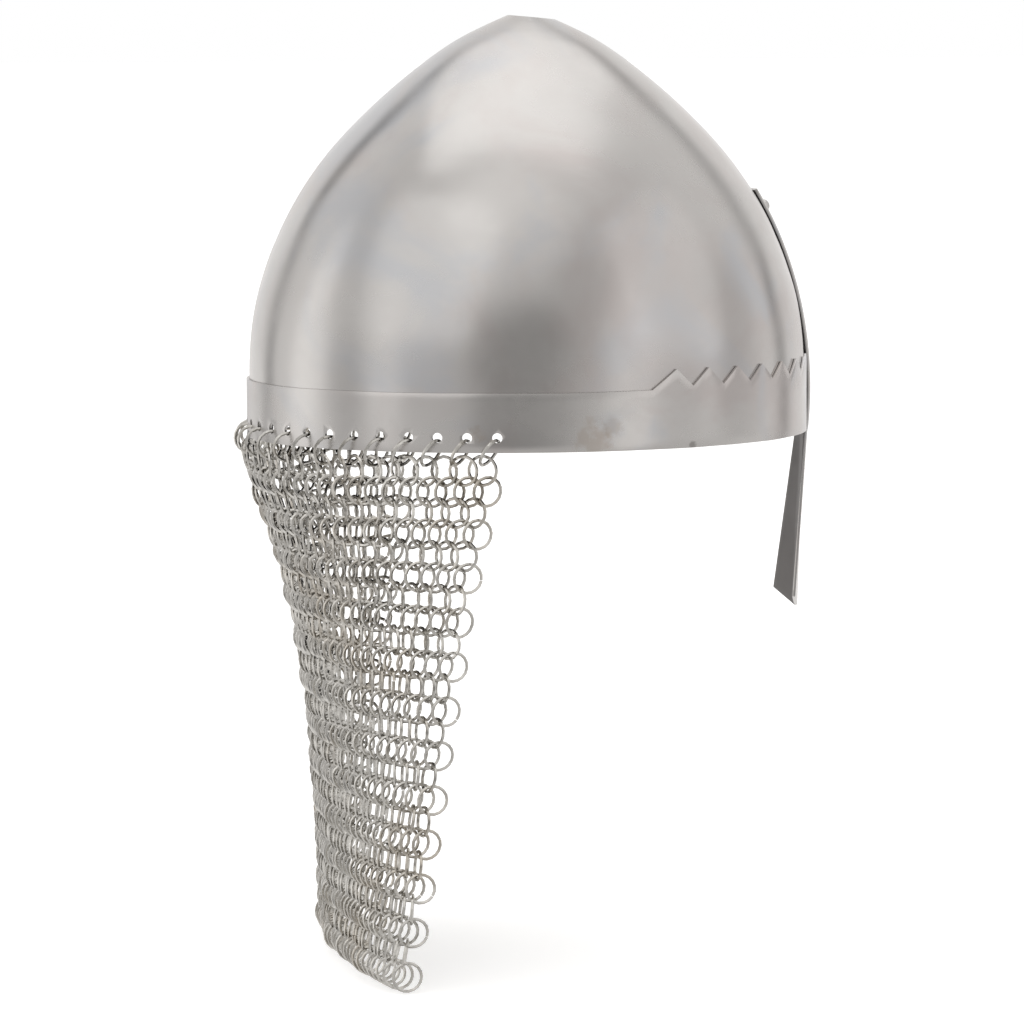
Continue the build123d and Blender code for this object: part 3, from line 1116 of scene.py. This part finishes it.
def add_softbox(context, name, spot, aim, width, height, power):
    """A rectangular soft light aimed at a place."""
    light = bpy.data.lights.new(name, "AREA")
    light.shape = "RECTANGLE"
    light.size = width
    light.size_y = height
    light.energy = power
    lamp = bpy.data.objects.new(name, light)
    lamp.location = spot
    lamp.rotation_euler = (Vector(aim) - Vector(spot)).to_track_quat("-Z", "Y").to_euler()
    context.scene.collection.objects.link(lamp)


class HELMET_OT_studio(bpy.types.Operator):
    """Set up the camera, the soft lights and the pale floor"""

    bl_idname = "helmet.studio"
    bl_label = "Studio"

    def execute(self, context):
        studio = context.scene.helmet_studio
        context.scene.view_settings.view_transform = "Standard"
        world_light(context)
        add_softbox(context, "key_softbox", (-1.6, -1.5, 1.3), (0, 0, 0), 2.2, 2.0, 5)
        add_softbox(context, "fill_softbox", (1.9, -1.4, 1.0), (0, 0, 0), 1.8, 2.0, 3)
        add_softbox(context, "top_softbox", (0.1, 0.3, 2.2), (0, 0, 0), 2.4, 2.4, 8)
        bm = bmesh.new()
        bmesh.ops.create_grid(bm, x_segments=2, y_segments=2, size=40.0)
        bmesh.ops.translate(bm, vec=(0, 0, cad_box[0][2] - 0.0005), verts=bm.verts[:])
        paper, tree, shader, coordinates = new_material("floor_paper")
        grain = add_noise(tree, coordinates, 180.0, detail=2)
        tint = add_mix(tree, grain, (0.93, 0.93, 0.925), (0.95, 0.95, 0.945))
        tree.links.new(tint, shader.inputs["Base Color"])
        shader.inputs["Roughness"].default_value = 0.9
        shader.inputs["Specular IOR Level"].default_value = 0.1
        shader.inputs["Emission Color"].default_value = (1, 1, 1, 1)
        shader.inputs["Emission Strength"].default_value = 0.42
        floor = add_piece("floor", bm, paper)
        floor.visible_glossy = False
        back = Vector((math.sin(studio.azimuth), -math.cos(studio.azimuth), 0))
        right = Vector((math.cos(studio.azimuth), math.sin(studio.azimuth), 0))
        spot = back * studio.distance + UP * studio.height
        aim = -right * studio.aim_aside - UP * studio.aim_depth
        lens = bpy.data.cameras.new("camera")
        lens.lens = studio.lens
        lens.sensor_width = 36
        lens.clip_end = 200
        camera = bpy.data.objects.new("camera", lens)
        camera.location = spot
        gaze = (aim - spot).to_track_quat("-Z", "Y") @ Quaternion((0, 0, 1), studio.roll)
        camera.rotation_euler = gaze.to_euler()
        context.scene.collection.objects.link(camera)
        context.scene.camera = camera
        return {"FINISHED"}


class HELMET_PT_panel(bpy.types.Panel):
    """Lists the helmet's pieces"""

    bl_idname = "HELMET_PT_panel"
    bl_label = "Knight Helmet"
    bl_space_type = "VIEW_3D"
    bl_region_type = "UI"
    bl_category = "Helmet"

    def draw(self, context):
        for operator in OPERATORS:
            self.layout.operator(operator.bl_idname)
        for settings in (plates(), mail(), finishes(), context.scene.helmet_studio):
            box = self.layout.box()
            for label in settings.__annotations__:
                box.prop(settings, label)


OPERATORS = (
    HELMET_OT_skull_dome,
    HELMET_OT_brow_band,
    HELMET_OT_nasal_guard,
    HELMET_OT_nasal_rivet,
    HELMET_OT_mail_curtain,
    HELMET_OT_studio,
)
GROUPS = {
    "helmet_plates": HelmetPlateSettings,
    "helmet_mail": HelmetMailSettings,
    "helmet_finishes": HelmetFinishSettings,
    "helmet_studio": HelmetStudioSettings,
}


def register():
    for settings in GROUPS.values():
        bpy.utils.register_class(settings)
    for name, settings in GROUPS.items():
        setattr(bpy.types.Scene, name, PointerProperty(type=settings))
    for operator in OPERATORS:
        bpy.utils.register_class(operator)
    bpy.utils.register_class(HELMET_PT_panel)


def unregister():
    bpy.utils.unregister_class(HELMET_PT_panel)
    for operator in reversed(OPERATORS):
        bpy.utils.unregister_class(operator)
    for name, settings in GROUPS.items():
        delattr(bpy.types.Scene, name)
        bpy.utils.unregister_class(settings)


def main():
    register()
    bpy.ops.helmet.skull_dome()
    bpy.ops.helmet.brow_band()
    bpy.ops.helmet.nasal_guard()
    bpy.ops.helmet.nasal_rivet()
    bpy.ops.helmet.mail_curtain()
    bpy.ops.helmet.studio()


if __name__ == "__main__":
    main()
